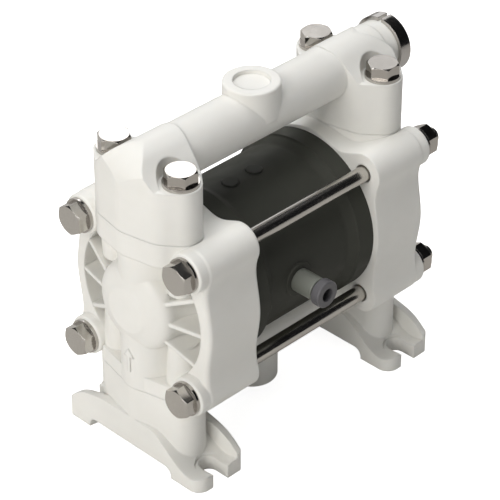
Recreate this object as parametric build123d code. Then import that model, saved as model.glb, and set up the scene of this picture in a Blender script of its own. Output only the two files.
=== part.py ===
"""Air operated double diaphragm pump, plastic wetted parts, steel fasteners.

X runs along the diaphragm shaft, with the outlet and inlet ports at +X. The air inlet faces -Y.
Z is up and the feet stand on Z = 0, with the origin midway between the four foot slots.
Every piece is drawn about the shaft axis and lifted to its height when it is written.
All sizes are in millimetres.
"""

from build123d import *
from math import cos, radians, sin, sqrt
import os

# Overall layout
axis_height = 79.4
tie_half = 32.0
flange_x = 37.3
rim_x = 67.3
tie_boss_x = 71.5
column_x = 61.5
valve_x = 60.5
parting_z = 41.5
fit_gap = 0.05
touch_gap = 0.3

# Metric fasteners, size eight
shank_radius = 3.6
thread_radius = 3.95
hex_flat = 13.0
hex_height = 5.3
nut_height = 6.5
washer_radius = 8.0
washer_thick = 1.6
clearance_radius = 4.25
thread_end = 4.2

# Fluid cover
tie_boss_radius = 9.5
side_crest = 42.0
side_trough = 39.9
top_crest = 41.2
top_trough = 37.2
trough_at = 17.0
boss_sweep = 20.0
rim_round = 2.2
pocket_radius = 36.3
pocket_floor_x = 51.0
bell_radius = 21.3
bell_x = 68.0
dome_edge_radius = 19.8
dome_edge_x = 72.0
dome_x = 77.0
rib_angles = (-29.0, 0.0, 27.0)
rib_thick = 2.0
neck_radius = 13.9
platform_depth = 11.5
lower_platform_depth = 8.0
lobe_radius = 8.3
lobe_end_radius = 6.7
lobe_end_z = 13.0
arrow_top_z = 20.6
arrow_length = 12.0
arrow_half = 3.0
arrow_raise = 0.5
chamber_radius = 31.0
chamber_x = 57.0
chamber_port_z = 15.0
chamber_port_radius = 5.0

# Valve columns
manifold_bolt_y = 20.0
column_boss_radius = 9.0
upper_column_half = 16.5
upper_shoulder_y = 12.0
upper_shoulder_radius = 14.2
lower_column_half = 13.3
boss_reach = 66.6
insert_radius = 5.2
insert_length = 12.0
insert_sink = 0.5
bolt_past_insert = 0.8
bolt_tip_room = 2.5

# Ball valves
ball_radius = 6.35
ball_lift = 4.5
cage_radius = 8.3
seat_radius = 9.7
seat_bore = 5.0
seat_thick = 3.7
seat_gap = 0.1
bypass_width = 3.6

# Upper manifold
upper_tube_z = 66.3
upper_tube_radius = 12.3
elbow_roof_radius = 12.9
upper_bore_radius = 8.7
spot_radius = 10.0
elbow_round = 15.0
port_end_x = 86.8
port_boss_radius = 12.0
ring_radius = 13.75
ring_length = 6.2
ring_slit = 1.8
port_thread_radius = 7.65
port_thread_length = 14.0
top_boss_radius = 12.8
top_boss_height = 15.75
top_recess_radius = 8.2
top_recess_depth = 1.8

# Lower manifold and feet
lower_tube_z = 51.0
lower_tube_radius = 11.4
lower_bore_radius = 5.6
bottom_boss_end = 73.8
foot_half_x = 13.3
foot_end_y = 41.7
foot_pad_y = 24.0
foot_long_pad_y = 28.8
foot_arch = 5.1
foot_thick = 7.9
foot_outer_round = 6.0
foot_inner_round = 1.4
slot_radius = 4.5
slot_centre_y = 34.4
spot_face_y = 36.8
spot_face_radius = 7.9
spot_face_thick = 6.9
head_pocket_radius = 8.1
foot_wall = 2.9
foot_joint_room = 0.2

# Air section
rim_radius = 39.2
waist_radius = 36.2
rim_width = 9.0
air_chamber_radius = 31.5
air_chamber_floor = 24.0
bead_radius = 36.2
bead_depth = 2.5
shaft_radius = 5.0
bush_radius = 7.5
bush_length = 8.0
stroke = 6.0
membrane_thick = 1.8
roll_radius = 30.2
plate_radius = 20.0
inner_plate_thick = 3.5
outer_plate_thick = 6.0
stud_radius = 3.9
stud_length = 17.0
spool_y = 19.0
sleeve_radius = 7.5
sleeve_half = 21.5
spool_radius = 4.4
spool_half = 18.0
spool_travel = 3.0
pilot_z = 17.0
pilot_radius = 3.0
pilot_reach = 0.0
pilot_travel = 2.5
cap_radius = 4.0
cap_xs = (-13.3, 1.3)

# Air fitting and exhaust
air_x = -7.5
fitting_radius = 5.4
fitting_stands_out = 11.8
fitting_depth = 7.7
collar_radius = 6.3
collar_gap = 1.2
collar_length = 4.2
tube_radius = 3.15
muffler_x = 7.5
muffler_thread_radius = 4.8
muffler_stands_out = 10.3
fitting_end_y = waist_radius + fitting_stands_out
fitting_root_y = waist_radius - fitting_depth
muffler_reach = waist_radius + muffler_stands_out


def along_x(radius, start, end, y=0.0, z=0.0):
    """A round bar along X."""
    bar = Cylinder(radius, end - start, align=(Align.CENTER, Align.CENTER, Align.MIN))
    return Pos(start, y, z) * Rot(0, 90, 0) * bar


def along_y(radius, start, end, x=0.0, z=0.0):
    """A round bar along Y."""
    bar = Cylinder(radius, end - start, align=(Align.CENTER, Align.CENTER, Align.MIN))
    return Pos(x, start, z) * Rot(-90, 0, 0) * bar


def along_z(radius, start, end, x=0.0, y=0.0):
    """A round bar along Z."""
    bar = Cylinder(radius, end - start, align=(Align.CENTER, Align.CENTER, Align.MIN))
    return Pos(x, y, start) * bar


def spin_x(*edges):
    """Turn a profile, drawn as X and radius, about the shaft axis."""
    face = make_face([Plane.XZ * edge for edge in edges])
    return revolve(face, Axis.X, 360)


def ring_x(outer, inner, start, end, y=0.0, z=0.0):
    """A plain ring along X."""
    return along_x(outer, start, end, y, z) - along_x(inner, start - 1, end + 1, y, z)


def mirrored(shape):
    """The same piece at the other end of the shaft."""
    return mirror(shape, Plane.YZ)


def both_ends(shape):
    """A piece and its mirror image, as two solids."""
    return Compound(list(shape.solids()) + list(mirrored(shape).solids()))


def four_ties():
    """The Y and Z places of the tie bolts."""
    return [(y, z) for y in (-tie_half, tie_half) for z in (-tie_half, tie_half)]


def hex_head(height):
    """A hexagon along Z with its outer corners turned off."""
    across_corners = hex_flat / cos(radians(30))
    blank = extrude(RegularPolygon(across_corners / 2, 6), height)
    crown = Cylinder(across_corners / 2, height, align=(Align.CENTER, Align.CENTER, Align.MIN))
    crown = chamfer(crown.edges().group_by(Axis.Z)[-1], length=0.6, length2=1.0)
    return blank & crown


def hex_bolt(length, thread_length, plain_radius):
    """A hexagon bolt along Z: head above Z = 0, shank below."""
    head = hex_head(hex_height)
    shank = along_z(plain_radius, thread_length - length, 0)
    thread = along_z(thread_radius, -length, thread_length - length)
    thread = chamfer(thread.edges().group_by(Axis.Z)[0], 0.8)
    return head + shank + thread


def washer():
    """A plain washer along Z, standing on Z = 0."""
    return along_z(washer_radius, 0, washer_thick) - along_z(clearance_radius, -1, washer_thick + 1)


def column_plan(half_width, shoulders=()):
    """The outline of a valve column: its middle, its shoulders and its two bolt bosses."""
    rounds = [(0.0, half_width)]
    for side in (-1, 1):
        rounds.append((side * manifold_bolt_y, column_boss_radius))
        for offset, radius in shoulders:
            rounds.append((side * offset, radius))
    edges = ShapeList()
    for offset, radius in rounds:
        edges += (Pos(0, offset) * Circle(radius)).edges()
    return make_hull(edges)


def upper_plan():
    return column_plan(upper_column_half, [(upper_shoulder_y, upper_shoulder_radius)])


def lower_plan():
    return column_plan(lower_column_half)


def ball_rest():
    """The height of a resting ball's centre above the top of its seat."""
    return sqrt(ball_radius**2 - seat_bore**2)


def cage_stop(z_low, z_high, x):
    """The passage above a ball: a hole that stops the ball and slots that let the fluid past."""
    passage = along_z(seat_bore, z_low, z_high, x)
    middle = (z_low + z_high) / 2
    for angle in (0, 90):
        slot = Box(2 * cage_radius - 1, bypass_width, z_high - z_low)
        passage += Pos(x, 0, middle) * Rot(0, 0, angle) * slot
    return passage


def cover_outline():
    """The waved outline of a fluid cover, as Y and Z, running round four tie bolt bosses."""
    edges = []
    lean = radians(boss_sweep)
    near = tie_half + tie_boss_radius * cos(lean)
    off = tie_half - tie_boss_radius * sin(lean)
    diagonal = tie_half + tie_boss_radius * cos(radians(45))
    turn_in = (-sin(lean), -cos(lean))
    turn_out = (sin(lean), -cos(lean))
    for quarter in range(4):
        upright = quarter % 2 == 0
        crest, trough = (side_crest, side_trough) if upright else (top_crest, top_trough)
        points = [(near, off), (trough, trough_at), (crest, 0), (trough, -trough_at), (near, -off)]
        side = Spline(*points, tangents=[turn_in, turn_out])
        corner = ThreePointArc((near, off), (diagonal, diagonal), (off, near))
        turned = Rot(0, 0, 90 * quarter)
        edges += [turned * side, turned * corner]
    return make_face(edges)


def cover_ribs():
    """The radial ribs between the dome and the rim, three on each side."""
    top_inner = (dome_edge_x - 0.8, dome_edge_radius - 1.0)
    top_outer = (rim_x - 0.4, pocket_radius + 0.8)
    profile = Polyline(
        (pocket_floor_x - 1, top_inner[1]),
        top_inner,
        top_outer,
        (pocket_floor_x - 1, top_outer[1]),
        close=True,
    )
    blade = extrude(Plane.XZ * make_face(profile), rib_thick / 2, both=True)
    blades = []
    for angle in rib_angles:
        blades.append(Rot(90 - angle, 0, 0) * blade)
        blades.append(Rot(angle - 90, 0, 0) * blade)
    return blades


def flow_arrow():
    """The raised arrow under the dome that shows which way the fluid goes."""
    outline = Polyline(
        (0, 0),
        (-arrow_half, -0.34 * arrow_length),
        (-0.3 * arrow_half, -0.34 * arrow_length),
        (-0.3 * arrow_half, -arrow_length),
        (0.3 * arrow_half, -arrow_length),
        (0.3 * arrow_half, -0.34 * arrow_length),
        (arrow_half, -0.34 * arrow_length),
        close=True,
    )
    front = column_x + neck_radius + arrow_raise
    face = Plane.YZ.offset(front - 6) * Pos(0, -arrow_top_z) * make_face(outline)
    return extrude(face, 6)


def cover_shell():
    """The outside of a fluid cover at +X: rim, bell, dome, ribs, web and platforms."""
    outline = Plane.YZ.offset(flange_x) * cover_outline()
    block = extrude(outline, rim_x - flange_x)
    block = fillet(block.edges().filter_by_position(Axis.X, rim_x - 0.1, rim_x + 0.1), rim_round)
    block -= along_x(pocket_radius, pocket_floor_x, rim_x + 1)

    bell = Spline(
        (pocket_floor_x, pocket_radius),
        (pocket_floor_x + 2.6, bell_radius + 6.2),
        (bell_x - 8, bell_radius + 1.6),
        (bell_x, bell_radius),
    )
    dome = Spline(
        (bell_x, bell_radius),
        (dome_edge_x, dome_edge_radius),
        (dome_x - 1.1, dome_edge_radius * 0.62),
        (dome_x, 0),
        tangents=[(1, -0.12), (0, -1)],
    )
    base = Polyline((dome_x, 0), (pocket_floor_x - 1, 0), (pocket_floor_x - 1, pocket_radius),
                    (pocket_floor_x, pocket_radius))
    core = spin_x(bell, dome, base)

    neck = along_z(neck_radius, -parting_z, parting_z, column_x) & Pos(column_x, 0, 0) * Box(
        2 * (column_x - pocket_floor_x) + 20, 40, 2 * parting_z)
    upper = Pos(column_x, 0, parting_z - platform_depth) * extrude(upper_plan(), platform_depth)
    lower = Pos(column_x, 0, -parting_z) * extrude(lower_plan(), lower_platform_depth)

    shell = block + core + neck + upper + lower + flow_arrow()
    lobe = Cone(lobe_end_radius, lobe_radius, parting_z - 1 - lobe_end_z,
                align=(Align.CENTER, Align.CENTER, Align.MIN))
    for side in (-1, 1):
        place = Pos(column_x, side * manifold_bolt_y, 0)
        shell += place * Pos(0, 0, lobe_end_z) * lobe
        shell += place * Rot(180, 0, 0) * Pos(0, 0, lobe_end_z) * lobe
    for blade in cover_ribs():
        shell += blade
    for y, z in four_ties():
        boss = along_x(tie_boss_radius - 0.3, rim_x - 8, tie_boss_x, y, z)
        boss = fillet(boss.edges().group_by(Axis.X)[-1], 1.0)
        shell += boss
    return shell


def cover_hollow():
    """What is cut out of a fluid cover at +X: chamber, valve bores, bolt and insert holes."""
    dish = Spline(
        (flange_x, chamber_radius),
        (flange_x + 8, chamber_radius - 1.6),
        (chamber_x - 5, chamber_radius - 9.5),
        (chamber_x - 0.8, 11.0),
        (chamber_x, 0),
        tangents=[(1, 0), (0, -1)],
    )
    mouth = Polyline((chamber_x, 0), (flange_x - 1, 0), (flange_x - 1, chamber_radius),
                     (flange_x, chamber_radius))
    hollow = spin_x(dish, mouth)
    for z in (-chamber_port_z, chamber_port_z):
        hollow += along_x(chamber_port_radius, chamber_x - 8, valve_x, 0, z)

    cage_top = ball_rest() + ball_radius + ball_lift + touch_gap - parting_z
    hollow += along_z(cage_radius, -parting_z - 1, cage_top, valve_x)
    hollow += cage_stop(cage_top - 0.5, -chamber_port_z, valve_x)
    hollow += along_z(seat_bore, chamber_port_z - 4, parting_z, valve_x)
    seat_floor = parting_z - seat_thick - seat_gap
    hollow += along_z(seat_radius + fit_gap, seat_floor, parting_z + 1, valve_x)

    for side in (-1, 1):
        y = side * manifold_bolt_y
        low = parting_z - insert_sink - insert_length
        for start, end in ((low, parting_z + 1), (-parting_z - 1, -low)):
            hollow += along_z(insert_radius, start, end, column_x, y)
        for start, end in ((low - bolt_tip_room, low + 1), (-low - 1, bolt_tip_room - low)):
            hollow += along_z(clearance_radius, start, end, column_x, y)
    for y, z in four_ties():
        hollow += along_x(clearance_radius, flange_x - 1, tie_boss_x + 1, y, z)
    return hollow


def far_cover():
    return cover_shell() - cover_hollow()


def elbow_block():
    """One end of the upper manifold at +X, before its bores: a column with a rounded roof."""
    height = upper_tube_z + elbow_roof_radius + 1 - parting_z
    column = Pos(0, 0, parting_z) * extrude(upper_plan(), height)

    reach = manifold_bolt_y + column_boss_radius + 1
    lean = radians(46)
    crown_y = elbow_roof_radius * sin(lean)
    crown_z = upper_tube_z + elbow_roof_radius * cos(lean)
    top = upper_tube_z + elbow_roof_radius
    eave = boss_reach + 0.2
    eave_y = crown_y + crown_z - eave
    roof = make_face(
        [
            ThreePointArc((-crown_y, crown_z), (0, top), (crown_y, crown_z)),
            Polyline((crown_y, crown_z), (eave_y, eave), (reach, eave), (reach, parting_z - 1),
                     (-reach, parting_z - 1), (-reach, eave), (-eave_y, eave),
                     (-crown_y, crown_z)),
        ]
    )
    column &= extrude(Plane.YZ * roof, 40, both=True)

    side = make_face(
        [
            Polyline((upper_column_half, parting_z - 1), (upper_column_half, top - elbow_round)),
            ThreePointArc(
                (upper_column_half, top - elbow_round),
                (upper_column_half - elbow_round * (1 - cos(radians(45))),
                 top - elbow_round * (1 - sin(radians(45)))),
                (upper_column_half - elbow_round, top),
            ),
            Polyline((upper_column_half - elbow_round, top), (-upper_column_half, top),
                     (-upper_column_half, parting_z - 1), (upper_column_half, parting_z - 1)),
        ]
    )
    column &= extrude(Plane.XZ * side, 40, both=True)
    return column


def upper_manifold():
    """The outlet manifold: two elbow columns, the tube, the blind top boss and the outlet port."""
    far_end = Pos(column_x, 0, 0) * elbow_block()
    body = far_end + mirrored(far_end)
    body += along_x(upper_tube_radius, -column_x, port_end_x - 12, 0, upper_tube_z)
    body += along_x(port_boss_radius, column_x, port_end_x, 0, upper_tube_z)
    boss = along_z(top_boss_radius, upper_tube_z, upper_tube_z + top_boss_height)
    boss = fillet(boss.edges().group_by(Axis.Z)[-1], 0.8)
    body += boss
    cuts = []
    for x in (-column_x, column_x):
        for side in (-1, 1):
            y = side * manifold_bolt_y
            top = upper_tube_z + 2 * upper_tube_radius
            cuts.append(along_z(spot_radius, boss_reach, top, x, y))
            cuts.append(along_z(clearance_radius, parting_z - 1, boss_reach + 1, x, y))
    boss_top = upper_tube_z + top_boss_height
    cuts.append(along_z(top_recess_radius, boss_top - top_recess_depth, boss_top + 1))
    bore_end = port_end_x - port_thread_length
    bores = along_x(upper_bore_radius, -valve_x, valve_x, 0, upper_tube_z)
    bores += along_x(port_thread_radius - 0.8, valve_x - 5, port_end_x, 0, upper_tube_z)
    bores += along_x(port_thread_radius, bore_end, port_end_x + 1, 0, upper_tube_z)
    cage_top = parting_z + ball_rest() + ball_radius + ball_lift + touch_gap
    for x in (-valve_x, valve_x):
        bores += along_z(cage_radius, parting_z - 1, cage_top, x)
        bores += cage_stop(cage_top - 0.5, upper_tube_z, x)
    return body - cuts - bores


def foot_profile(crest):
    """A foot seen along X, under a crest given from its tip to its middle as (Y, Z) points."""
    ground = -axis_height
    far_crest = [(-y, z) for y, z in reversed(crest)]
    base = Polyline(far_crest[-1], (-foot_end_y - 1, ground), (foot_end_y + 1, ground), crest[0])
    return make_face([Spline(*crest), Line(crest[-1], far_crest[0]), Spline(*far_crest), base])


def foot_arch_space():
    """The space under a foot's arch: its ends are skewed, so each pad is longer on one side."""
    ground = -axis_height
    reach = foot_half_x + 1
    plan = Polyline((-reach, -foot_pad_y), (reach, -foot_long_pad_y), (reach, foot_pad_y),
                    (-reach, foot_long_pad_y), close=True)
    space = Pos(0, 0, ground - 1) * extrude(make_face(plan), foot_arch + 1)
    top = space.faces().sort_by(Axis.Z)[-1]
    ends = [edge for edge in top.edges() if abs(edge.center().X) < 1]
    return fillet(ends, foot_arch - 1)


def foot(x):
    """One foot: a plate under a rising flank, with a thin wall and an open slot at each tip.

    Turned half round it is the same, so the wall is at +X on one tip and at -X on the other.
    """
    ground = -axis_height
    plan = Rectangle(2 * foot_half_x, 2 * foot_end_y)
    blunt = [v for v in plan.vertices() if v.X * v.Y > 0]
    plan = fillet(blunt, foot_outer_round)
    sharp = [v for v in plan.vertices() if abs(v.X) > foot_half_x - 0.1
             and abs(v.Y) > foot_end_y - 0.1]
    plan = fillet(sharp, foot_inner_round)
    blank = Pos(0, 0, ground) * extrude(plan, 24)

    tip = ground + foot_thick
    flank_crest = [(foot_end_y + 1, tip), (29.5, tip + 0.4), (21.7, tip + 5.9),
                   (14.5, tip + 11.2), (7.0, tip + 12.6)]
    wall_crest = [(foot_end_y + 1, tip + 1.2), (39.0, tip + 4.6), (34.0, tip + 8.3),
                  (28.0, tip + 10.6), (20.0, tip + 12.4)]
    body = blank & extrude(Plane.YZ * foot_profile(flank_crest), 40, both=True)
    wall_plan = Polyline(
        (foot_half_x - foot_wall, -foot_end_y), (foot_half_x, -foot_end_y), (foot_half_x, 0),
        (foot_half_x - 2 * foot_wall, 0), (foot_half_x - foot_wall - 0.6, -foot_pad_y), close=True)
    wall = Pos(0, 0, ground) * extrude(make_face(wall_plan), 24)
    wall &= blank & extrude(Plane.YZ * foot_profile(wall_crest), 40, both=True)
    body += [wall, Rot(0, 0, 180) * wall]

    cuts = [foot_arch_space()]
    for side in (-1, 1):
        y = side * slot_centre_y
        cuts.append(along_z(slot_radius, ground - 1, ground + 30, 0, y))
        notch = Box(2 * slot_radius, 20, 60)
        cuts.append(Pos(0, side * (slot_centre_y + 10), ground) * notch)
        spot = along_z(spot_face_radius, ground + spot_face_thick, ground + 30, 0,
                       side * spot_face_y)
        cuts.append(spot)
    return Pos(x, 0, 0) * (body - cuts)


def inlet_side():
    """Inlet manifold and feet as one shape: two columns on feet, the tube and its ports."""
    body = along_x(lower_tube_radius, -column_x, port_end_x - 12, 0, -lower_tube_z)
    body += along_x(port_boss_radius, column_x, port_end_x, 0, -lower_tube_z)
    for x in (-column_x, column_x):
        drop = axis_height - foot_arch - parting_z
        body += Pos(x, 0, -parting_z - drop) * extrude(lower_plan(), drop)
        body += foot(x)
    boss = along_z(port_boss_radius, -bottom_boss_end, -lower_tube_z)
    boss = fillet(boss.edges().group_by(Axis.Z)[0], 0.8)
    body += boss
    cuts = [along_z(top_recess_radius, -bottom_boss_end - 1, top_recess_depth - bottom_boss_end)]
    for x in (-column_x, column_x):
        flat = Box(2 * (column_x - flange_x + 0.5), 40, 8)
        cuts.append(Pos(x, 0, 4 - parting_z) * flat)
        for side in (-1, 1):
            y = side * manifold_bolt_y
            cuts.append(along_z(head_pocket_radius, -axis_height - 1, -boss_reach, x, y))
            cuts.append(along_z(clearance_radius, -boss_reach - 1, 1 - parting_z, x, y))
    bore_end = port_end_x - port_thread_length
    bores = along_x(lower_bore_radius, -valve_x, bore_end + 1, 0, -lower_tube_z)
    bores += along_x(port_thread_radius, bore_end, port_end_x + 1, 0, -lower_tube_z)
    floor = -parting_z - seat_thick - seat_gap
    for x in (-valve_x, valve_x):
        bores += along_z(seat_radius + fit_gap, floor, 1 - parting_z, x)
        bores += along_z(seat_bore, -lower_tube_z, floor + 1, x)
    return body - cuts - bores


def foot_space(x):
    """The block that holds a foot, from below the floor up to the joint under the tube."""
    joint = -lower_tube_z - port_boss_radius - foot_joint_room
    block = Box(2 * foot_half_x + 2, 2 * foot_end_y + 2, joint + axis_height + 1,
                align=(Align.CENTER, Align.CENTER, Align.MAX))
    return Pos(x, 0, joint) * block


def lower_manifold(side):
    """The inlet manifold down to the joints on which its feet are clamped."""
    return side - [foot_space(-column_x), foot_space(column_x)]


def clamped_foot(side, x):
    """A foot, clamped under its column by the two manifold bolts that go up through it."""
    return side & foot_space(x)


def port_ring(z):
    """A split steel ring pressed round a port so that the plastic thread can't spread."""
    start = port_end_x + 0.4 - ring_length
    ring = ring_x(ring_radius, port_boss_radius + fit_gap, start, start + ring_length, 0, z)
    slit = Pos(start + ring_length / 2, 0, z + ring_radius) * Box(ring_length + 2, ring_slit, 12)
    return ring - slit


def valve_seat():
    """A ball seat standing on Z = 0, with a groove for its seal underneath."""
    seat = along_z(seat_radius, 0, seat_thick) - along_z(seat_bore, -1, seat_thick + 1)
    seat -= Pos(0, 0, seat_thick + ball_rest()) * Sphere(ball_radius + seat_gap)
    groove = along_z(seat_radius - 0.6, -1, 1.8) - along_z(seat_radius - 2.8, -2, 3)
    return seat - groove


def seat_seal():
    """The ring seal in a seat's groove, a little below the seat's underside."""
    return Pos(0, 0, 0.88) * Torus(seat_radius - 1.7, 0.85)


def centre_block():
    """The air section between the covers, with its chambers and every bore."""
    step = flange_x - rim_width
    half = [
        Line((0, 0), (flange_x, 0)),
        Line((flange_x, 0), (flange_x, rim_radius)),
        Line((flange_x, rim_radius), (step, rim_radius)),
        Spline((step, rim_radius), (step - 2.0, waist_radius + 1.5), (step - 5.5, waist_radius),
               tangents=[(-0.25, -1), (-1, 0)]),
        Line((step - 5.5, waist_radius), (0, waist_radius)),
        Line((0, waist_radius), (0, 0)),
    ]
    right = spin_x(*half)
    body = right + mirrored(right)
    inlet_pad = along_y(fitting_radius + 2.6, -waist_radius - 0.6, -spool_y, air_x)
    body += fillet(inlet_pad.edges().group_by(Axis.Y)[0], 0.5)
    muffler_pad = along_y(muffler_thread_radius + 3.2, 20, waist_radius + 1.2, muffler_x)
    body += muffler_pad
    for sign in (-1, 1):
        face = sign * flange_x
        step_x = sign * (flange_x - bead_depth)
        floor = sign * air_chamber_floor
        low, high = sorted((step_x, face + sign))
        body -= along_x(bead_radius, low, high)
        low, high = sorted((floor, face + sign))
        body -= along_x(air_chamber_radius, low, high)
    long = air_chamber_floor + 1
    body -= along_x(shaft_radius + touch_gap, -long, long)
    for sign in (-1, 1):
        start = sign * (air_chamber_floor - bush_length)
        low, high = sorted((start, sign * long))
        body -= along_x(bush_radius, low, high)
        groove_start = sign * (air_chamber_floor - bush_length - 4.0)
        low, high = sorted((groove_start, groove_start - sign * 2.6))
        body -= along_x(shaft_radius + 2.2, low, high)
    body -= along_x(sleeve_radius + fit_gap, -long, long, -spool_y)
    body -= along_x(pilot_radius + fit_gap, -long, long, 0, pilot_z)
    for sign in (-1, 1):
        groove_start = sign * (air_chamber_floor - 4.0)
        low, high = sorted((groove_start, groove_start - sign * 2.0))
        body -= along_x(pilot_radius + 1.6, low, high, 0, pilot_z)
    body -= along_y(muffler_thread_radius, 16, waist_radius + 3, muffler_x)
    body -= along_y(2.2, -spool_y, 18, muffler_x, 0) - along_x(shaft_radius + 3, -long, long)
    body -= along_y(fitting_radius - 0.55, -waist_radius - 1, -fitting_root_y, air_x)
    body -= along_y(tube_radius, -fitting_root_y - 1, -spool_y, air_x)
    for x in cap_xs:
        body -= along_z(cap_radius, waist_radius - 4.6, waist_radius + 3, x)
        body -= along_z(1.6, pilot_z, waist_radius - 4, x)
    return body


def body_caps():
    """The two round plugs on top of the air section, over its pilot drillings."""
    caps = []
    for x in cap_xs:
        cap = along_z(cap_radius - fit_gap, waist_radius - 4.6, waist_radius + 0.5, x)
        caps.append(chamfer(cap.edges().group_by(Axis.Z)[-1], 0.4))
    return Compound(caps)


def diaphragm():
    """The diaphragm at +X: bead, one convolution and a flat hub round the stud hole."""
    outer = flange_x - fit_gap
    inner = outer - membrane_thick
    bead_inner = flange_x - bead_depth + fit_gap
    bead_low = air_chamber_radius + 0.5
    hub = plate_radius + 1.0
    crown = (hub + roll_radius) / 2
    rise = (roll_radius - hub) / 2
    profile = [
        Polyline((outer, hub), (outer, stud_radius + fit_gap), (inner, stud_radius + fit_gap),
                 (inner, hub)),
        ThreePointArc((inner, hub), (inner + rise - membrane_thick / 2, crown),
                      (inner, roll_radius)),
        Polyline((inner, roll_radius), (inner, bead_low), (bead_inner, bead_low),
                 (bead_inner, bead_radius - 0.1), (outer, bead_radius - 0.1),
                 (outer, roll_radius)),
        ThreePointArc((outer, roll_radius), (outer + rise, crown), (outer, hub)),
    ]
    return spin_x(*profile)


def inner_plate():
    """The air side plate at +X, behind the diaphragm."""
    face = flange_x - membrane_thick - 2 * fit_gap
    back = face - inner_plate_thick
    profile = [
        Polyline((face, plate_radius - 1.2), (face, stud_radius + fit_gap),
                 (back, stud_radius + fit_gap), (back, plate_radius - 3.0)),
        ThreePointArc((back, plate_radius - 3.0), (back + 1.1, plate_radius - 0.7),
                      (face - 1.0, plate_radius)),
        Polyline((face - 1.0, plate_radius), (face, plate_radius - 1.2)),
    ]
    return spin_x(*profile)


def outer_plate():
    """The fluid side plate at +X, moulded in one piece with the stud that clamps the diaphragm."""
    face = flange_x
    nose = face + outer_plate_thick
    dome = Spline((nose, 0), (nose - 0.7, plate_radius * 0.45), (face + 2.4, plate_radius - 1.2),
                  tangents=[(0, 1), (-1, 0.25)])
    rest = Polyline((face + 2.4, plate_radius - 1.2), (face, plate_radius - 1.6),
                    (face, stud_radius), (face - stud_length, stud_radius),
                    (face - stud_length, 0), (nose, 0))
    return spin_x(dome, rest)


def shaft_reach():
    """The shaft's half length: it ends against the inner plates."""
    return flange_x - membrane_thick - 2 * fit_gap - inner_plate_thick - 0.02


def diaphragm_shaft():
    """The shaft that joins both diaphragms, tapped at each end."""
    reach = shaft_reach()
    rod = along_x(shaft_radius, -reach, reach)
    rod = chamfer(rod.edges().filter_by(GeomType.CIRCLE), 0.6)
    hole = flange_x - stud_length - 1.0
    rod -= along_x(stud_radius + fit_gap, hole, reach + 1)
    rod -= along_x(stud_radius + fit_gap, -reach - 1, -hole)
    return rod


def shaft_bush():
    start = air_chamber_floor - bush_length
    return ring_x(bush_radius, shaft_radius + fit_gap, start, air_chamber_floor)


def shaft_seal():
    start = air_chamber_floor - bush_length - 6.6 + fit_gap
    end = air_chamber_floor - bush_length - 4.0 - fit_gap
    return ring_x(shaft_radius + 2.15, shaft_radius + fit_gap, start, end)


def valve_sleeve():
    """The air valve's sleeve, with its rows of ports."""
    sleeve = ring_x(sleeve_radius, spool_radius + fit_gap, -sleeve_half, sleeve_half, -spool_y)
    for x in (-14.0, air_x, 0.0, -air_x, 14.0):
        sleeve -= ring_x(sleeve_radius + 1, sleeve_radius - 0.9, x - 1.5, x + 1.5, -spool_y)
        for angle in range(0, 360, 60):
            port = along_z(1.1, 0, sleeve_radius + 1, x)
            sleeve -= Pos(0, -spool_y, 0) * Rot(angle, 0, 0) * port
    return sleeve


def valve_spool():
    """The air valve's spool: four lands on a thin core."""
    core = along_x(2.4, -spool_half, spool_half, -spool_y)
    for x in (-15.5, -5.5, 5.5, 15.5):
        core += along_x(spool_radius, x - 2.5, x + 2.5, -spool_y)
    return core


def valve_plug():
    """The plug that closes the air valve's bore at +X."""
    plug = along_x(sleeve_radius, sleeve_half + fit_gap, air_chamber_floor - 0.4, -spool_y)
    flat = Pos(air_chamber_floor - 0.4, -spool_y, 0) * Box(1.6, 9.0, 1.4)
    return plug - flat


def pilot_spool():
    """The pilot pin that the inner plates push from side to side."""
    reach = air_chamber_floor + pilot_reach
    pin = along_x(pilot_radius, -reach, reach, 0, pilot_z)
    pin = chamfer(pin.edges().filter_by(GeomType.CIRCLE), 0.5)
    for x in cap_xs:
        pin -= ring_x(pilot_radius + 1, pilot_radius - 0.9, x - 2.5, x + 2.5, 0, pilot_z)
    return pin


def pilot_seal():
    start = air_chamber_floor - 6.0 + fit_gap
    end = air_chamber_floor - 4.0 - fit_gap
    return ring_x(pilot_radius + 1.55, pilot_radius + 0.06, start, end, 0, pilot_z)


def fitting_body():
    """The push-in fitting for the air line, screwed into the air section."""
    body = along_y(fitting_radius, -fitting_end_y, -waist_radius - 0.6, air_x)
    body = fillet(body.edges().group_by(Axis.Y)[0], 0.5)
    body += along_y(fitting_radius - 0.6, -waist_radius - 0.7, -fitting_root_y - 0.5, air_x)
    body -= along_y(collar_radius - 1.7 + fit_gap, -fitting_end_y - 1, -fitting_end_y + 7.0, air_x)
    body -= along_y(tube_radius + 0.3, -fitting_end_y, -waist_radius + 2, air_x)
    body -= along_y(2.2, -waist_radius, -fitting_root_y + 1, air_x)
    return body


def release_collar():
    """The fitting's release collar: a flanged ring with a sleeve inside the body."""
    back = -fitting_end_y - collar_gap
    collar = along_y(collar_radius, back - collar_length, back, air_x)
    collar = chamfer(collar.edges().group_by(Axis.Y)[0], 0.5)
    collar += along_y(collar_radius - 1.7, back - 1, -fitting_end_y + 4.2, air_x)
    return collar - along_y(tube_radius, back - collar_length - 1, -fitting_end_y + 6, air_x)


def fitting_seal():
    y = -fitting_end_y + 6.2
    ring = along_y(collar_radius - 1.75, y - 0.7, y + 0.7, air_x)
    return ring - along_y(tube_radius + 0.02, y - 2, y + 2, air_x)


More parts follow.
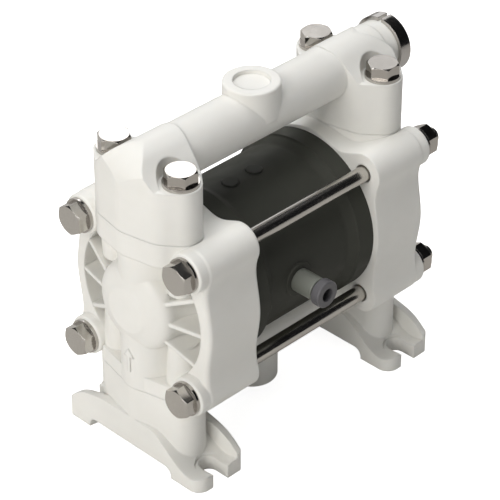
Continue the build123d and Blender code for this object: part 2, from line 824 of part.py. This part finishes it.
def exhaust_muffler():
    """A sintered silencer in the exhaust port at the back of the air section."""
    seat = waist_radius + 1.2
    across = 2 * (muffler_thread_radius + 1.9)
    hexagon = extrude(RegularPolygon(across / 2 / cos(radians(30)), 6), 3.0)
    collar = Pos(muffler_x, seat, 0) * Rot(-90, 0, 0) * hexagon
    thread = along_y(muffler_thread_radius - fit_gap, seat - 9, seat, muffler_x)
    tip = along_y(muffler_thread_radius - 0.4, seat + 3, muffler_reach, muffler_x)
    tip = fillet(tip.edges().group_by(Axis.Y)[-1], 3.0)
    return collar + thread + tip


def tie_bolt(y, z):
    """A tie bolt with its head at -X."""
    under_head = tie_boss_x + washer_thick
    length = 2 * under_head + nut_height + thread_end
    bolt = hex_bolt(length, 24.0, shank_radius)
    return Pos(-under_head, y, z) * Rot(0, -90, 0) * bolt


def tie_nut(y, z):
    nut = hex_head(nut_height) - along_z(thread_radius + fit_gap, -1, nut_height + 1)
    return Pos(tie_boss_x + washer_thick, y, z) * Rot(0, 90, 0) * nut


def manifold_bolts(up):
    """The four bolts of one manifold: from above where up is 1, from below where it is -1."""
    insert_end = parting_z - insert_sink - insert_length
    length = boss_reach + washer_thick - insert_end + bolt_past_insert
    bolts = []
    for x in (-column_x, column_x):
        for side in (-1, 1):
            bolt = hex_bolt(length, length / 2, thread_radius)
            bolt = Rot(0 if up > 0 else 180, 0, 0) * bolt
            level = up * (boss_reach + washer_thick)
            bolts.append(Pos(x, side * manifold_bolt_y, level) * bolt)
    return Compound(bolts)


def manifold_washers():
    rings = []
    for x in (-column_x, column_x):
        for side in (-1, 1):
            for level in (boss_reach, -boss_reach - washer_thick):
                rings.append(Pos(x, side * manifold_bolt_y, level) * washer())
    return Compound(rings)


def cover_inserts():
    """The threaded inserts that the manifold bolts screw into."""
    inserts = []
    for x in (-column_x, column_x):
        for side in (-1, 1):
            for level in (parting_z - insert_sink - insert_length, insert_sink - parting_z):
                ring = along_z(insert_radius, 0, insert_length)
                ring -= along_z(thread_radius + fit_gap, -1, insert_length + 1)
                inserts.append(Pos(x, side * manifold_bolt_y, level) * ring)
    return Compound(inserts)


def tie_washers():
    rings = []
    for y, z in four_ties():
        ring = Pos(tie_boss_x, y, z) * Rot(0, 90, 0) * washer()
        rings += [ring, mirrored(ring)]
    return Compound(rings)


def seats_and_seals(level):
    """The two seats, and their seals, whose tops lie at the given level."""
    seats, seals = [], []
    for x in (-valve_x, valve_x):
        place = Pos(x, 0, level - seat_thick)
        seats.append(place * valve_seat())
        seals.append(place * seat_seal())
    return seats, seals


def ball(x, level):
    return Pos(x, 0, level + ball_rest()) * Sphere(ball_radius)


def write(name, shape):
    """Lift a piece to its height above the floor and write it."""
    export_step(Pos(0, 0, axis_height) * shape, f"parts/{name}.step")


def main():
    os.makedirs("parts", exist_ok=True)
    cover = far_cover()
    write("far_cover", cover)
    write("near_cover", mirrored(cover))
    write("upper_manifold", upper_manifold())
    side = inlet_side()
    write("lower_manifold", lower_manifold(side))
    write("near_foot", clamped_foot(side, -column_x))
    write("far_foot", clamped_foot(side, column_x))
    write("outlet_ring", port_ring(upper_tube_z))
    write("inlet_ring", port_ring(-lower_tube_z))
    write("centre_block", centre_block())
    write("body_caps", body_caps())

    write("far_diaphragm", diaphragm())
    write("near_diaphragm", mirrored(diaphragm()))
    write("far_inner_plate", inner_plate())
    write("near_inner_plate", mirrored(inner_plate()))
    write("far_outer_plate", outer_plate())
    write("near_outer_plate", mirrored(outer_plate()))
    write("diaphragm_shaft", diaphragm_shaft())
    write("shaft_bushes", both_ends(shaft_bush()))
    write("shaft_seals", both_ends(shaft_seal()))

    inlet_seats, inlet_seals = seats_and_seals(-parting_z)
    outlet_seats, outlet_seals = seats_and_seals(parting_z)
    write("inlet_seats", Compound(inlet_seats))
    write("outlet_seats", Compound(outlet_seats))
    write("seat_seals", Compound(inlet_seals + outlet_seals))
    write("near_inlet_ball", ball(-valve_x, -parting_z))
    write("far_inlet_ball", ball(valve_x, -parting_z))
    write("near_outlet_ball", ball(-valve_x, parting_z))
    write("far_outlet_ball", ball(valve_x, parting_z))

    write("valve_sleeve", valve_sleeve())
    write("valve_spool", valve_spool())
    write("valve_plugs", both_ends(valve_plug()))
    write("pilot_spool", pilot_spool())
    write("pilot_seals", both_ends(pilot_seal()))
    write("air_fitting", fitting_body())
    write("release_collar", release_collar())
    write("fitting_seal", fitting_seal())
    write("exhaust_muffler", exhaust_muffler())

    write("tie_bolts", Compound([tie_bolt(y, z) for y, z in four_ties()]))
    write("tie_nuts", Compound([tie_nut(y, z) for y, z in four_ties()]))
    write("tie_washers", tie_washers())
    write("upper_manifold_bolts", manifold_bolts(1))
    write("lower_manifold_bolts", manifold_bolts(-1))
    write("manifold_washers", manifold_washers())
    write("cover_inserts", cover_inserts())


if __name__ == "__main__":
    main()
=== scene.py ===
"""Air operated diaphragm pump, dressed for one studio picture.

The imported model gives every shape, down to the bolts and their inserts. This script adds the
materials, the camera, the floor, the lamps and the world. All lengths are in metres.
"""

import math

import bpy
from mathutils import Matrix, Vector

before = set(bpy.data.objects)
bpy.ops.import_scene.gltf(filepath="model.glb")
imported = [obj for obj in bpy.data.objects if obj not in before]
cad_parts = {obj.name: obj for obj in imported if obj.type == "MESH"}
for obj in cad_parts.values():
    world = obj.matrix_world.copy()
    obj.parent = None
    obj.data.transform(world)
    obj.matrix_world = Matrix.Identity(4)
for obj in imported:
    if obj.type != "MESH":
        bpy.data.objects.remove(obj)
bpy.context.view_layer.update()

# Where the source puts what this script fits to
SHAFT_Z = 0.0794
FOOT_JOINT_Z = 0.0162

# The floor: its paper, the same paper seen in gloss, and how much lighter the camera sees it
FLOOR_HALF = 6.0
FLOOR_PAPER = (0.82, 0.81, 0.79, 1)
FLOOR_IN_GLOSS = (0.62, 0.6, 0.57, 1)
FLOOR_ROUGH = 0.9
FLOOR_GLOW = 0.88

# The world: what lights the pump, and the white that the camera and gloss see
SOFT_LIGHT = (0.93, 0.96, 1.0, 1)
SOFT_STRENGTH = 0.13
WHITE_LIGHT = (1, 1, 1, 1)

# The lamps: name, place, size, watts and colour
LAMPS = [
    ("key_lamp", (-1.48, -0.2, 0.85), (1.1, 1.1), 17.5, (1.0, 0.98, 0.95)),
    ("top_lamp", (0.1, 0.2, 1.7), (1.2, 1.2), 18.5, (1, 1, 1)),
    ("back_lamp", (1.02, 1.2, 1.25), (0.4, 0.4), 1.0, (1, 1, 1)),
]

# The curved cards that polished metal reflects: name, both ends in X and both angles
CARD_RADIUS = 0.9
CARD_STEPS = 24
CARD_FELT = (0.02, 0.02, 0.022, 1)
CARDS = [("front_card", -0.25, 2.5, 62, 184), ("back_card", -2.5, -0.25, -4, 118)]

# The photograph's camera
CAMERA_FROM = Vector((-0.62894, -0.62069, 0.67775))
CAMERA_AZIMUTH = math.radians(44.67)
CAMERA_DOWN = math.radians(34.36)
CAMERA_LENS = 172.8
CAMERA_SENSOR = 36.0
CAMERA_CLIP = (0.05, 20.0)

# How the shaders round off edges, and how they paint a highlight in the colour along them
EDGE_SAMPLES = 6
HIGHLIGHT_SAMPLES = 4
HIGHLIGHT_RANGE = (0.86, 0.985)
HIGHLIGHT_AMOUNT = 0.3
HIGHLIGHT_WIDTH = 0.0006
SEAM_REACH = 1.3
METAL_EDGE = 0.00025

# How far roughness strays on moulded and on metal pieces
MOULDED_SPREAD = 0.06
METAL_SPREAD = (0.04, 0.06)

# Moulded skins: how strong the fine skin and the slow waves are, and how much finer than the
# flow marks the roughness and the waves run
SKIN_STRENGTH = 0.25
WAVE_STRENGTH = 0.2
ROUGHNESS_FINER = 5
WAVES_FINER = 3
WAVES_DEEPER = 4

# Machined metal: how strong its marks are, and the clouds in its colour
MARK_STRENGTH = 0.2
CLOUD_SCALE = 60.0
CLOUD_SHARE = 0.45

# Sintered bronze: grains per metre, and how far they stand out
GRAIN_SCALE = 1500.0
GRAIN_STRENGTH = 0.6
GRAIN_DEPTH = -0.0002

# White plastic: how much light goes into it, how far for red, green and blue, and the scale
GLOW_THROUGH = 0.12
GLOW_RADIUS = (0.004, 0.0035, 0.003)
GLOW_SCALE = 0.6


# Materials

def new_material(name):
    """A node material with an empty Principled shader, its nodes and its links."""
    material = bpy.data.materials.new(name)
    material.use_nodes = True
    tree = material.node_tree
    shader = tree.nodes["Principled BSDF"]
    return material, tree, shader


def noise(tree, scale, detail=3.0, rough=0.5, stretch=(1, 1, 1)):
    """Noise in object space, stretched along the axes if asked."""
    coords = tree.nodes.new("ShaderNodeTexCoord")
    mapping = tree.nodes.new("ShaderNodeMapping")
    mapping.inputs["Scale"].default_value = stretch
    texture = tree.nodes.new("ShaderNodeTexNoise")
    texture.inputs["Scale"].default_value = scale
    texture.inputs["Detail"].default_value = detail
    texture.inputs["Roughness"].default_value = rough
    tree.links.new(coords.outputs["Object"], mapping.inputs["Vector"])
    tree.links.new(mapping.outputs["Vector"], texture.inputs["Vector"])
    return texture.outputs["Fac"]


def ramp(tree, value, stops):
    """A colour ramp over a value: stops are (place, colour) pairs."""
    node = tree.nodes.new("ShaderNodeValToRGB")
    elements = node.color_ramp.elements
    elements[0].position, elements[0].color = stops[0][0], (*stops[0][1], 1)
    elements[1].position, elements[1].color = stops[-1][0], (*stops[-1][1], 1)
    for place, colour in stops[1:-1]:
        element = elements.new(place)
        element.color = (*colour, 1)
    tree.links.new(value, node.inputs["Fac"])
    return node.outputs["Color"]


def spread(tree, value, low, high, start=0.3, end=0.7):
    """A value mapped from start..end to low..high."""
    node = tree.nodes.new("ShaderNodeMapRange")
    node.inputs["From Min"].default_value = start
    node.inputs["From Max"].default_value = end
    node.inputs["To Min"].default_value = low
    node.inputs["To Max"].default_value = high
    tree.links.new(value, node.inputs["Value"])
    return node.outputs["Result"]


def soft_edges(tree, radius, seam=None):
    """The surface's direction with its edges rounded off, except near a seam's height."""
    node = tree.nodes.new("ShaderNodeBevel")
    node.samples = EDGE_SAMPLES
    node.inputs["Radius"].default_value = radius
    if seam is None:
        return node.outputs["Normal"]
    coords = tree.nodes.new("ShaderNodeTexCoord")
    split = tree.nodes.new("ShaderNodeSeparateXYZ")
    tree.links.new(coords.outputs["Object"], split.inputs["Vector"])
    apart = tree.nodes.new("ShaderNodeMath")
    apart.operation = "COMPARE"
    apart.inputs[1].default_value = seam
    apart.inputs[2].default_value = SEAM_REACH * radius
    tree.links.new(split.outputs["Z"], apart.inputs[0])
    geometry = tree.nodes.new("ShaderNodeNewGeometry")
    mix = tree.nodes.new("ShaderNodeMix")
    mix.data_type = "VECTOR"
    tree.links.new(apart.outputs["Value"], mix.inputs["Factor"])
    tree.links.new(node.outputs["Normal"], mix.inputs["A"])
    tree.links.new(geometry.outputs["Normal"], mix.inputs["B"])
    return mix.outputs["Result"]


def bump(tree, shader, value, strength, distance, before=None):
    """A bump on the shader, over another one if given."""
    node = tree.nodes.new("ShaderNodeBump")
    node.inputs["Strength"].default_value = strength
    node.inputs["Distance"].default_value = distance
    tree.links.new(value, node.inputs["Height"])
    if before is not None:
        tree.links.new(before, node.inputs["Normal"])
    tree.links.new(node.outputs["Normal"], shader.inputs["Normal"])
    return node.outputs["Normal"]


def paint_edge_highlight(tree, colour, highlight_edge_colour):
    """The colour, a little different along the edges: a painted highlight there."""
    bevel = tree.nodes.new("ShaderNodeBevel")
    bevel.samples = HIGHLIGHT_SAMPLES
    bevel.inputs["Radius"].default_value = HIGHLIGHT_WIDTH
    geometry = tree.nodes.new("ShaderNodeNewGeometry")
    product = tree.nodes.new("ShaderNodeVectorMath")
    product.operation = "DOT_PRODUCT"
    tree.links.new(bevel.outputs["Normal"], product.inputs[0])
    tree.links.new(geometry.outputs["Normal"], product.inputs[1])
    # How strongly the painted edge highlight is mixed in, by how far the rounded direction strays
    factor = spread(tree, product.outputs["Value"], HIGHLIGHT_AMOUNT, 0.0, *HIGHLIGHT_RANGE)
    mix = tree.nodes.new("ShaderNodeMix")
    mix.data_type = "RGBA"
    mix.inputs["B"].default_value = (*highlight_edge_colour, 1)
    tree.links.new(factor, mix.inputs["Factor"])
    tree.links.new(colour, mix.inputs["A"])
    return mix.outputs["Result"]


def moulded(name, dark, light, rough, grain=1400.0, mottle=22.0, depth=0.00004, highlight_colour=None,
            round_off=0.0006, shine=0.5, seam=None):
    """Injection moulded plastic: fine skin texture, faint flow marks, softened edges, and a
    painted highlight along the edges when an edge colour is given.
    """
    material, tree, shader = new_material(name)
    flow = noise(tree, mottle, 4.0, 0.6)
    colour = ramp(tree, flow, [(0.32, dark), (0.68, light)])
    # A painted highlight: the colour turns towards the given edge colour along the edges
    if highlight_colour:
        colour = paint_edge_highlight(tree, colour, highlight_colour)
    tree.links.new(colour, shader.inputs["Base Color"])
    gloss = spread(tree, noise(tree, mottle * ROUGHNESS_FINER, 3.0),
                   rough - MOULDED_SPREAD, rough + MOULDED_SPREAD)
    tree.links.new(gloss, shader.inputs["Roughness"])
    skin = noise(tree, grain, 2.0, 0.6)
    shader.inputs["Specular IOR Level"].default_value = shine
    first = bump(tree, shader, skin, SKIN_STRENGTH, depth, soft_edges(tree, round_off, seam))
    waves = noise(tree, mottle * WAVES_FINER, 2.0)
    bump(tree, shader, waves, WAVE_STRENGTH, depth * WAVES_DEEPER, first)
    return material


def metal(name, dark, light, rough, stretch=(1, 1, 1), scale=420.0, depth=0.000008):
    """Machined metal: fine marks along one direction and faint colour change."""
    material, tree, shader = new_material(name)
    shader.inputs["Metallic"].default_value = 1.0
    marks = noise(tree, scale, 5.0, 0.6, stretch)
    cloud = noise(tree, CLOUD_SCALE, 3.0)
    mix = tree.nodes.new("ShaderNodeMix")
    mix.inputs["Factor"].default_value = CLOUD_SHARE
    tree.links.new(marks, mix.inputs["A"])
    tree.links.new(cloud, mix.inputs["B"])
    colour = ramp(tree, mix.outputs["Result"], [(0.3, dark), (0.7, light)])
    tree.links.new(colour, shader.inputs["Base Color"])
    below, above = METAL_SPREAD
    gloss = spread(tree, marks, rough - below, rough + above)
    tree.links.new(gloss, shader.inputs["Roughness"])
    bump(tree, shader, marks, MARK_STRENGTH, depth, soft_edges(tree, METAL_EDGE))
    return material


def white_plastic():
    """Natural white polypropylene, slightly translucent and warm."""
    material = moulded("white_polypropylene", (0.80, 0.79, 0.75), (0.86, 0.85, 0.81), 0.42,
                       round_off=0.0012, seam=FOOT_JOINT_Z)
    shader = material.node_tree.nodes["Principled BSDF"]
    shader.inputs["Subsurface Weight"].default_value = GLOW_THROUGH
    shader.inputs["Subsurface Radius"].default_value = GLOW_RADIUS
    shader.inputs["Subsurface Scale"].default_value = GLOW_SCALE
    return material


def sintered():
    """Sintered bronze: coarse round grains."""
    material, tree, shader = new_material("sintered_bronze")
    shader.inputs["Metallic"].default_value = 1.0
    coords = tree.nodes.new("ShaderNodeTexCoord")
    cells = tree.nodes.new("ShaderNodeTexVoronoi")
    cells.inputs["Scale"].default_value = GRAIN_SCALE
    tree.links.new(coords.outputs["Object"], cells.inputs["Vector"])
    colour = ramp(tree, cells.outputs["Distance"], [(0.0, (0.55, 0.38, 0.19)),
                                                    (0.7, (0.16, 0.1, 0.05))])
    tree.links.new(colour, shader.inputs["Base Color"])
    tree.links.new(spread(tree, cells.outputs["Distance"], 0.35, 0.7, 0.0, 0.8),
                   shader.inputs["Roughness"])
    bump(tree, shader, cells.outputs["Distance"], GRAIN_STRENGTH, GRAIN_DEPTH)
    return material


WHITE = white_plastic()
# The edge colours given below are painted highlights along the edges
BLACK = moulded("black_body_plastic", (0.049, 0.05, 0.042), (0.056, 0.057, 0.048), 0.6,
                grain=1100.0, highlight_colour=(0.056, 0.056, 0.05), shine=0.12)
CAP = moulded("black_cap_plastic", (0.05, 0.051, 0.044), (0.057, 0.058, 0.05), 0.6, shine=0.12)
GREY = moulded("grey_fitting_plastic", (0.145, 0.15, 0.13), (0.2, 0.21, 0.185), 0.33,
               highlight_colour=(0.36, 0.36, 0.33))
COLLAR = moulded("dark_collar_plastic", (0.085, 0.083, 0.088), (0.115, 0.112, 0.12), 0.33,
                 highlight_colour=(0.2, 0.19, 0.2))
RUBBER = moulded("black_rubber", (0.018, 0.018, 0.018), (0.03, 0.03, 0.029), 0.6, 900.0)
PTFE = moulded("white_ptfe", (0.82, 0.82, 0.8), (0.9, 0.9, 0.88), 0.5)
ROD = metal("drawn_steel_rod", (0.52, 0.5, 0.47), (0.6, 0.58, 0.55), 0.2, (0.04, 1, 1), 900.0)
HEAD = metal("forged_steel_heads", (0.47, 0.445, 0.415), (0.52, 0.495, 0.465), 0.12, scale=160.0)
WASHER = metal("rolled_steel_washers", (0.46, 0.435, 0.41), (0.52, 0.5, 0.47), 0.16, scale=200.0)
RING = metal("rolled_steel_rings", (0.5, 0.48, 0.46), (0.56, 0.54, 0.52), 0.14,
             (1, 0.2, 0.2), 300.0)
TURNED = metal("turned_steel", (0.45, 0.45, 0.45), (0.65, 0.65, 0.64), 0.22, (1, 0.1, 0.1), 700.0)
ALLOY = metal("turned_alloy", (0.55, 0.56, 0.58), (0.7, 0.71, 0.72), 0.3, (1, 0.1, 0.1), 600.0)
BRASS = metal("turned_brass", (0.5, 0.36, 0.15), (0.72, 0.55, 0.26), 0.28, (1, 1, 0.15), 600.0)
SINTERED = sintered()

FINISHES = {
    WHITE: ["far_cover", "near_cover", "upper_manifold", "lower_manifold", "near_foot",
            "far_foot", "far_outer_plate", "near_outer_plate", "inlet_seats", "outlet_seats"],
    BLACK: ["centre_block"],
    CAP: ["body_caps"],
    GREY: ["air_fitting"],
    COLLAR: ["release_collar"],
    RUBBER: ["far_diaphragm", "near_diaphragm", "shaft_seals", "pilot_seals", "fitting_seal"],
    PTFE: ["seat_seals", "near_inlet_ball", "far_inlet_ball", "near_outlet_ball",
           "far_outlet_ball", "shaft_bushes"],
    ROD: ["tie_bolts"],
    HEAD: ["upper_manifold_bolts", "lower_manifold_bolts", "tie_nuts"],
    WASHER: ["tie_washers", "manifold_washers"],
    RING: ["outlet_ring", "inlet_ring"],
    TURNED: ["diaphragm_shaft", "valve_sleeve", "pilot_spool"],
    ALLOY: ["far_inner_plate", "near_inner_plate", "valve_spool", "valve_plugs"],
    BRASS: ["cover_inserts"],
    SINTERED: ["exhaust_muffler"],
}
for material, names in FINISHES.items():
    for name in names:
        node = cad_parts[name]
        node.data.materials.clear()
        node.data.materials.append(material)


# The camera

def place_camera():
    """The photograph's viewpoint: a long lens, above and to the left."""
    data = bpy.data.cameras.new("photo_camera")
    data.lens = CAMERA_LENS
    data.sensor_width = CAMERA_SENSOR
    data.clip_start, data.clip_end = CAMERA_CLIP
    camera = bpy.data.objects.new("photo_camera", data)
    bpy.context.scene.collection.objects.link(camera)
    forward = Vector((math.cos(CAMERA_DOWN) * math.cos(CAMERA_AZIMUTH),
                      math.cos(CAMERA_DOWN) * math.sin(CAMERA_AZIMUTH),
                      -math.sin(CAMERA_DOWN)))
    right = forward.cross(Vector((0, 0, 1))).normalized()
    up = right.cross(forward)
    turn = Matrix((right, up, -forward)).transposed()
    camera.matrix_world = Matrix.Translation(CAMERA_FROM) @ turn.to_4x4()
    bpy.context.scene.camera = camera


place_camera()


# Floor, lamps and world

def seen_by(tree, *kinds):
    """1 for the named kinds of rays, 0 for all others."""
    path = tree.nodes.new("ShaderNodeLightPath")
    value = path.outputs[kinds[0]]
    for kind in kinds[1:]:
        either = tree.nodes.new("ShaderNodeMath")
        either.operation = "MAXIMUM"
        tree.links.new(value, either.inputs[0])
        tree.links.new(path.outputs[kind], either.inputs[1])
        value = either.outputs["Value"]
    return value


def make_floor():
    """A pale floor that the camera sees as white, with a faint shadow where the pump stands."""
    mesh = bpy.data.meshes.new("studio_floor")
    half = FLOOR_HALF
    corners = [(-half, -half, 0), (half, -half, 0), (half, half, 0), (-half, half, 0)]
    mesh.from_pydata(corners, [], [(0, 1, 2, 3)])
    floor = bpy.data.objects.new("studio_floor", mesh)
    bpy.context.scene.collection.objects.link(floor)
    material, tree, shader = new_material("studio_floor_paper")
    tint = tree.nodes.new("ShaderNodeMix")
    tint.data_type = "RGBA"
    tint.inputs["A"].default_value = FLOOR_PAPER
    tint.inputs["B"].default_value = FLOOR_IN_GLOSS
    tree.links.new(seen_by(tree, "Is Glossy Ray"), tint.inputs["Factor"])
    tree.links.new(tint.outputs["Result"], shader.inputs["Base Color"])
    shader.inputs["Roughness"].default_value = FLOOR_ROUGH
    shader.inputs["Specular IOR Level"].default_value = 0.0
    glow = tree.nodes.new("ShaderNodeEmission")
    glow.inputs["Color"].default_value = WHITE_LIGHT
    glow.inputs["Strength"].default_value = FLOOR_GLOW
    both = tree.nodes.new("ShaderNodeAddShader")
    tree.links.new(shader.outputs["BSDF"], both.inputs[0])
    tree.links.new(glow.outputs["Emission"], both.inputs[1])
    mix = tree.nodes.new("ShaderNodeMixShader")
    tree.links.new(seen_by(tree, "Is Camera Ray", "Is Transmission Ray"), mix.inputs["Fac"])
    tree.links.new(shader.outputs["BSDF"], mix.inputs[1])
    tree.links.new(both.outputs["Shader"], mix.inputs[2])
    tree.links.new(mix.outputs["Shader"], tree.nodes["Material Output"].inputs["Surface"])
    mesh.materials.append(material)


def area_lamp(name, place, size, power, colour):
    """A rectangular lamp aimed at the middle of the pump."""
    data = bpy.data.lights.new(name, "AREA")
    data.shape = "RECTANGLE"
    data.size, data.size_y = size
    data.energy = power
    data.color = colour
    lamp = bpy.data.objects.new(name, data)
    lamp.location = place
    direction = Vector((0.0, 0.0, SHAFT_Z)) - Vector(place)
    lamp.rotation_euler = direction.to_track_quat("-Z", "Y").to_euler()
    bpy.context.scene.collection.objects.link(lamp)


def dark_card(name, near_x, far_x, first, last):
    """A curved dark card round the X axis that shows only as dark bands in polished metal.

    It runs from near_x to far_x and between two angles, counted from +Y towards +Z.
    """
    angles = [math.radians(first + (last - first) * i / CARD_STEPS)
              for i in range(CARD_STEPS + 1)]
    points = [(x, CARD_RADIUS * math.cos(a), SHAFT_Z + CARD_RADIUS * math.sin(a))
              for a in angles for x in (near_x, far_x)]
    faces = [(2 * i, 2 * i + 1, 2 * i + 3, 2 * i + 2) for i in range(CARD_STEPS)]
    mesh = bpy.data.meshes.new(name)
    mesh.from_pydata(points, [], faces)
    card = bpy.data.objects.new(name, mesh)
    bpy.context.scene.collection.objects.link(card)
    material, tree, shader = new_material(name + "_felt")
    shader.inputs["Base Color"].default_value = CARD_FELT
    shader.inputs["Roughness"].default_value = 1.0
    shader.inputs["Specular IOR Level"].default_value = 0.0
    mesh.materials.append(material)
    card.visible_camera = False
    card.visible_diffuse = False
    card.visible_shadow = False
    card.visible_transmission = False


def make_world():
    """Soft light on the pump, and plain white behind it and in its gloss."""
    world = bpy.data.worlds.new("studio_world")
    bpy.context.scene.world = world
    world.use_nodes = True
    tree = world.node_tree
    soft = tree.nodes["Background"]
    soft.inputs["Color"].default_value = SOFT_LIGHT
    soft.inputs["Strength"].default_value = SOFT_STRENGTH
    white = tree.nodes.new("ShaderNodeBackground")
    white.inputs["Color"].default_value = WHITE_LIGHT
    white.inputs["Strength"].default_value = 1.0
    mix = tree.nodes.new("ShaderNodeMixShader")
    tree.links.new(seen_by(tree, "Is Camera Ray", "Is Glossy Ray", "Is Transmission Ray"),
                   mix.inputs["Fac"])
    tree.links.new(soft.outputs["Background"], mix.inputs[1])
    tree.links.new(white.outputs["Background"], mix.inputs[2])
    tree.links.new(mix.outputs["Shader"], tree.nodes["World Output"].inputs["Surface"])


make_floor()
make_world()
for lamp in LAMPS:
    area_lamp(*lamp)
for card in CARDS:
    dark_card(*card)

bpy.context.scene.view_settings.view_transform = "Standard"
